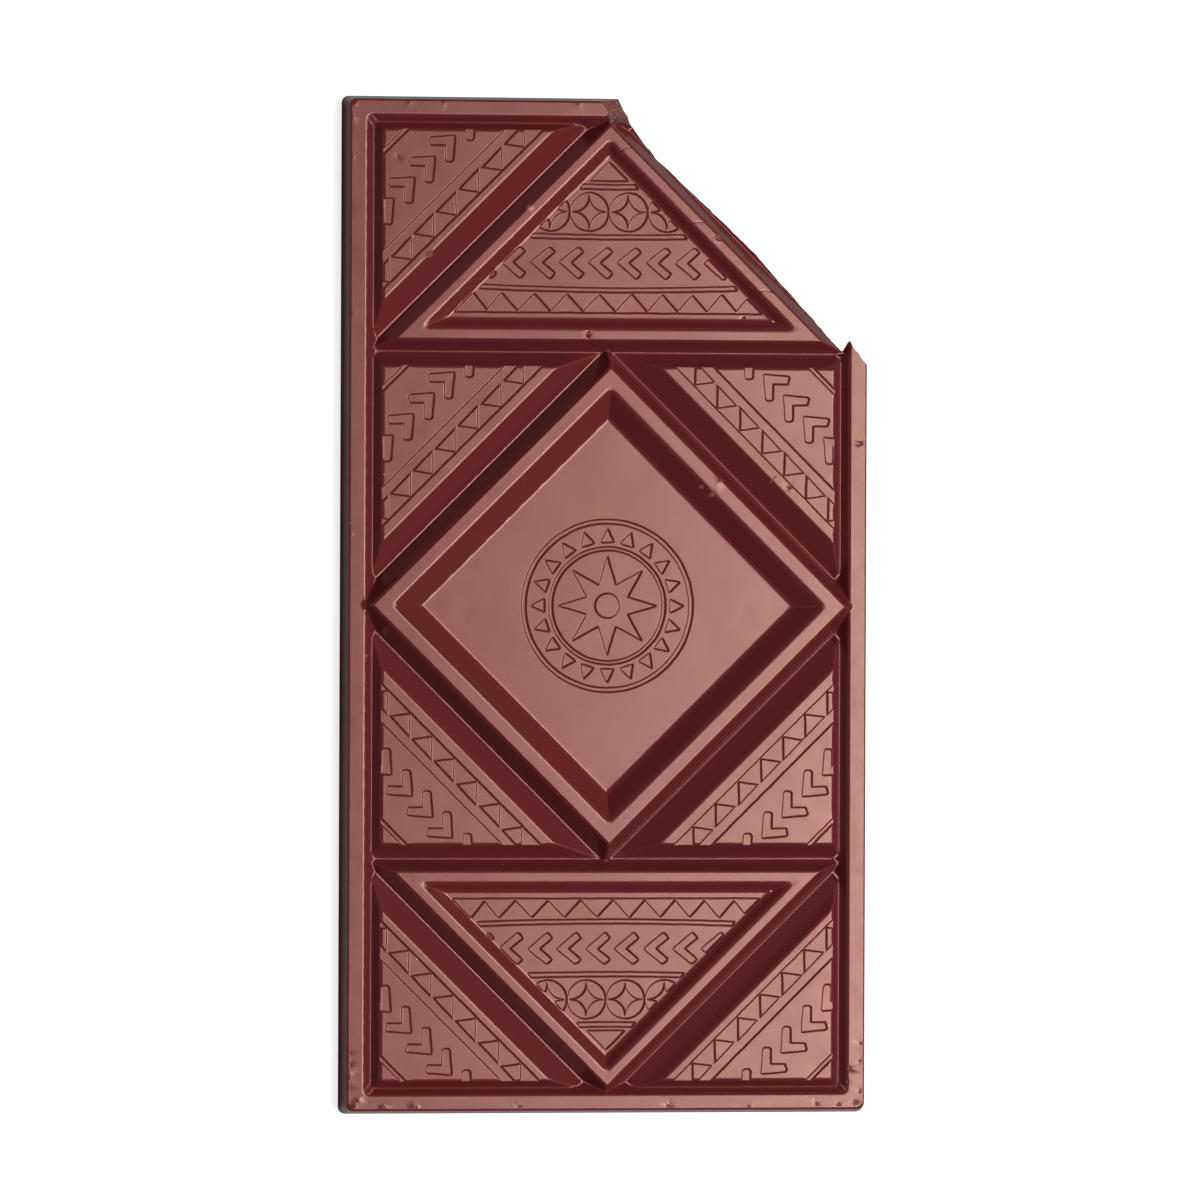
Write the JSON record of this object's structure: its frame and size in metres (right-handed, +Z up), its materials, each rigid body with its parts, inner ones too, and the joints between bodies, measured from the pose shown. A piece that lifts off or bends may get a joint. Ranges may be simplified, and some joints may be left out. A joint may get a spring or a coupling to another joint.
{
  "type": "chocolate bar",
  "caption": "Moulded chocolate tablet lying face up, with framed triangles, a framed diamond and patterned corner tiles, one corner snapped off.",
  "frame": {"origin": "centre of the flat poured back, in the plane that the bar lies on", "axes": "+X across the bar towards the side with the broken corner, +Y along the bar towards the broken end, +Z up out of the moulded face"},
  "size_m": [0.0732, 0.14, 0.0071],
  "materials": {
    "chocolate": "satin moulded chocolate, reddish brown, dull and rough where it is broken"
  },
  "bodies": {
    "root": {"bar": "chocolate"}
  },
  "joints": []
}
